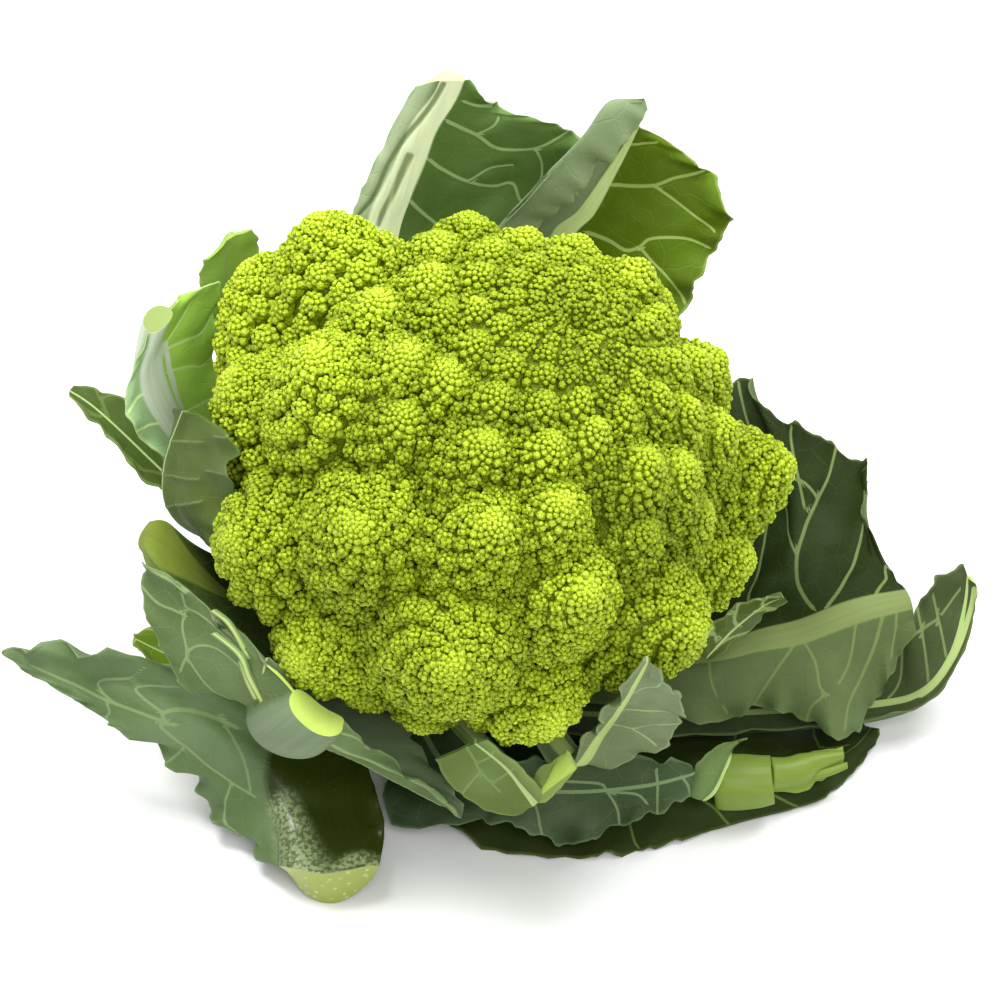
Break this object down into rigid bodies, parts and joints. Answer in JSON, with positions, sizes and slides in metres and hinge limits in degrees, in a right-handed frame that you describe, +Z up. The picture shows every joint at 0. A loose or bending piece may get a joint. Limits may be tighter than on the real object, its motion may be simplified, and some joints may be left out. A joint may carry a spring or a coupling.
{
  "type": "romanesco",
  "caption": "Romanesco: a leaning dome of spiral, cone-shaped green florets on a short cut stem, wrapped in trimmed, curling leaves; rests on its stem foot and low leaves.",
  "frame": {"origin": "centre of the bounding box, on the surface it rests on", "axes": "+Z up, +X to the side the head leans to, +Y to the side with the two tall leaves"},
  "size_m": [0.2488, 0.1808, 0.1449],
  "materials": {
    "curd": "matte, fine buds",
    "stem": "moist cut tissue",
    "leaf_inner": "satin leaf",
    "leaf_outer": "waxy leaf"
  },
  "bodies": {
    "root": {"head": "curd", "stem": "stem", "leaf_back_left": "leaf_inner", "leaf_back_right": "leaf_inner", "leaf_right": "leaf_inner", "leaf_far_right": "leaf_outer", "leaf_bottom_right": "leaf_inner", "leaf_front_centre": "leaf_outer", "leaf_front": "leaf_outer", "leaf_front_stub": "leaf_outer", "leaf_left_low": "leaf_inner", "leaf_left": "leaf_outer", "leaf_left_curl": "leaf_outer", "leaf_left_back": "leaf_outer", "leaf_far_left": "leaf_inner", "leaf_back_scrap": "leaf_inner", "small_leaf_right": "leaf_outer", "small_leaf_front_left": "leaf_inner", "small_leaf_front_right": "leaf_outer"}
  },
  "joints": []
}
